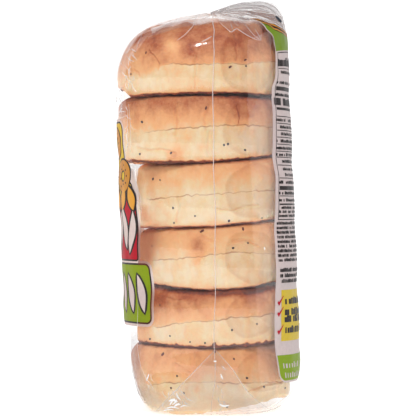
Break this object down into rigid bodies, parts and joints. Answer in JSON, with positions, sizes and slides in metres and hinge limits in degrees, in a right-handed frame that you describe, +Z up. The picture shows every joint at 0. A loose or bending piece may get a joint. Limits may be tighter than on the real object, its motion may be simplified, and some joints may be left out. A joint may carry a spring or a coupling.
{
  "type": "bag of onion bagels",
  "caption": "Tall clear film bag packed tight with a single stack of onion bagels, standing on its folded base, with welded sides and a gathered neck folded over to the back.",
  "frame": {"origin": "middle of the bounding box in plan, on the flat folded base that the bag stands on", "axes": "+Z up along the stack of bagels, -X out of the bag's front panel, +X out of its back panel, -Y and +Y out of the two welded sides"},
  "size_m": [0.1212, 0.1088, 0.2675],
  "materials": {
    "clear_film": "glossy clear polyethylene film, with the bagels showing through it",
    "bagel": "baked bagel: golden-brown dry crust over pale cream sides, matte",
    "seeds": "small dark seeds and browned onion flakes, matte",
    "print_ink": "opaque ink printed on glossy film"
  },
  "bodies": {
    "root": {"bagel_bag": "clear_film"}
  },
  "joints": []
}
